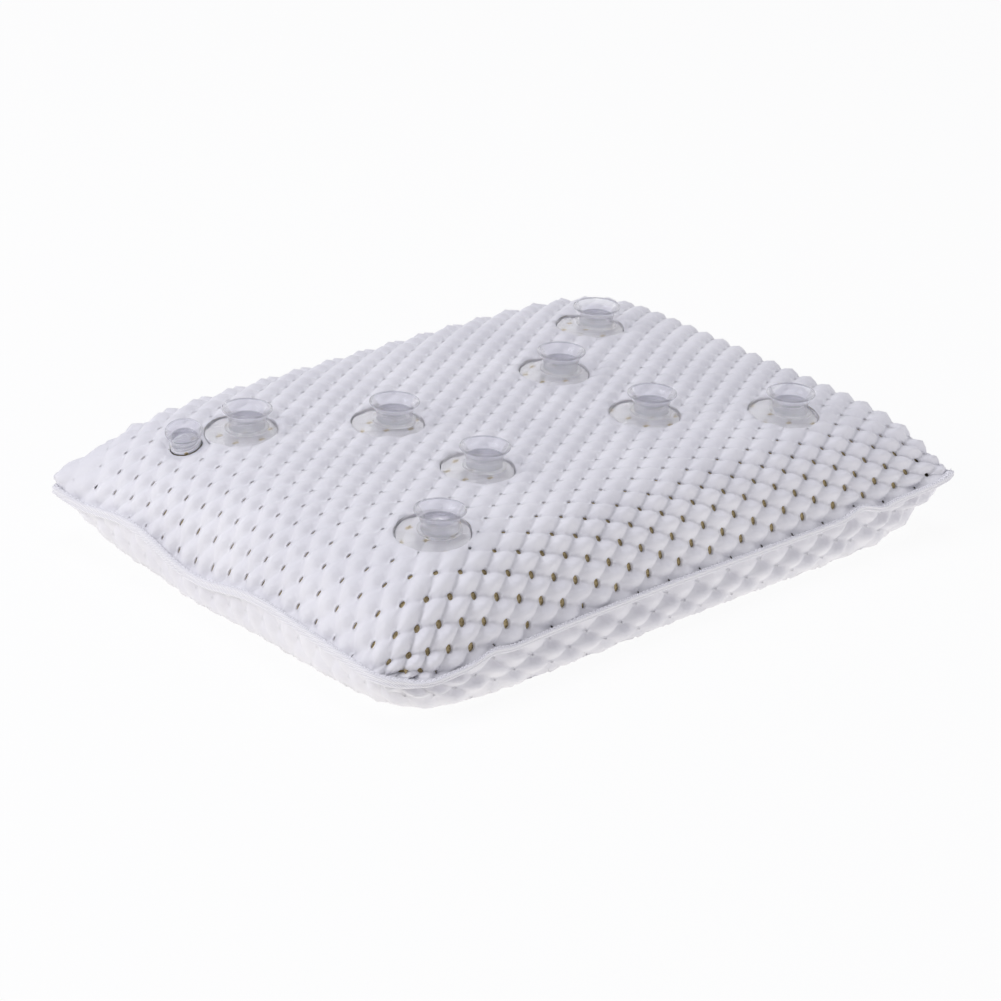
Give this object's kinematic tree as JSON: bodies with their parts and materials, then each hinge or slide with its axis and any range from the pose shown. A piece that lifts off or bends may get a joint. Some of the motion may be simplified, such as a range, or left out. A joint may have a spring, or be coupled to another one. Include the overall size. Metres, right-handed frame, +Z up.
{
  "type": "bath pillow",
  "caption": "Crowned rectangular foam pillow in open mesh covers with a bound, stitched edge and clear suction cups on one face for holding it to a bath.",
  "frame": {"origin": "under the pillow's middle, on the surface it lies on", "axes": "+X along the length, +Y across the width, +Z up to the face with the suction cups"},
  "size_m": [0.3784, 0.2624, 0.0738],
  "materials": {
    "mesh_cover": "matte foamed vinyl mesh",
    "foam": "matte open-cell foam",
    "tape": "matte woven tape",
    "thread": "matte spun thread",
    "clear_vinyl": "clear gloss"
  },
  "bodies": {
    "cushion": {"top_cover": "mesh_cover", "bottom_cover": "mesh_cover", "foam_core": "foam", "edge_binding": "tape", "needle_thread": "thread", "bobbin_thread": "thread"},
    "cup_1": {"suction_cup_1": "clear_vinyl", "cup_disc_1": "clear_vinyl"},
    "cup_2": {"suction_cup_2": "clear_vinyl", "cup_disc_2": "clear_vinyl"},
    "cup_3": {"suction_cup_3": "clear_vinyl", "cup_disc_3": "clear_vinyl"},
    "cup_4": {"suction_cup_4": "clear_vinyl", "cup_disc_4": "clear_vinyl"},
    "cup_5": {"suction_cup_5": "clear_vinyl", "cup_disc_5": "clear_vinyl"},
    "cup_6": {"suction_cup_6": "clear_vinyl", "cup_disc_6": "clear_vinyl"},
    "cup_7": {"suction_cup_7": "clear_vinyl", "cup_disc_7": "clear_vinyl"},
    "cup_8": {"suction_cup_8": "clear_vinyl", "cup_disc_8": "clear_vinyl"},
    "cup_9": {"suction_cup_9": "clear_vinyl"}
  },
  "joints": [
    {"name": "cup_1_press", "type": "slide", "parent": "cushion", "child": "cup_1", "axis": [-0.0874, -0.0429, 0.9953], "range_m": [-0.004, 0], "stiffness_N_per_m": 600},
    {"name": "cup_2_press", "type": "slide", "parent": "cushion", "child": "cup_2", "axis": [-0.0047, 0.0003, 1], "range_m": [-0.004, 0], "stiffness_N_per_m": 600},
    {"name": "cup_3_press", "type": "slide", "parent": "cushion", "child": "cup_3", "axis": [-0.0885, 0.0251, 0.9958], "range_m": [-0.004, 0], "stiffness_N_per_m": 600},
    {"name": "cup_4_press", "type": "slide", "parent": "cushion", "child": "cup_4", "axis": [-0.0047, 0.0021, 1], "range_m": [-0.004, 0], "stiffness_N_per_m": 600},
    {"name": "cup_5_press", "type": "slide", "parent": "cushion", "child": "cup_5", "axis": [0.0419, -0.0448, 0.9981], "range_m": [-0.004, 0], "stiffness_N_per_m": 600},
    {"name": "cup_6_press", "type": "slide", "parent": "cushion", "child": "cup_6", "axis": [0.0072, 0.0003, 1], "range_m": [-0.004, 0], "stiffness_N_per_m": 600},
    {"name": "cup_7_press", "type": "slide", "parent": "cushion", "child": "cup_7", "axis": [0.0432, 0.0269, 0.9987], "range_m": [-0.004, 0], "stiffness_N_per_m": 600},
    {"name": "cup_8_press", "type": "slide", "parent": "cushion", "child": "cup_8", "axis": [0.0072, 0.0022, 1], "range_m": [-0.004, 0], "stiffness_N_per_m": 600},
    {"name": "cup_9_press", "type": "slide", "parent": "cushion", "child": "cup_9", "axis": [-0.3041, 0.0373, 0.9519], "range_m": [-0.004, 0], "stiffness_N_per_m": 600}
  ]
}
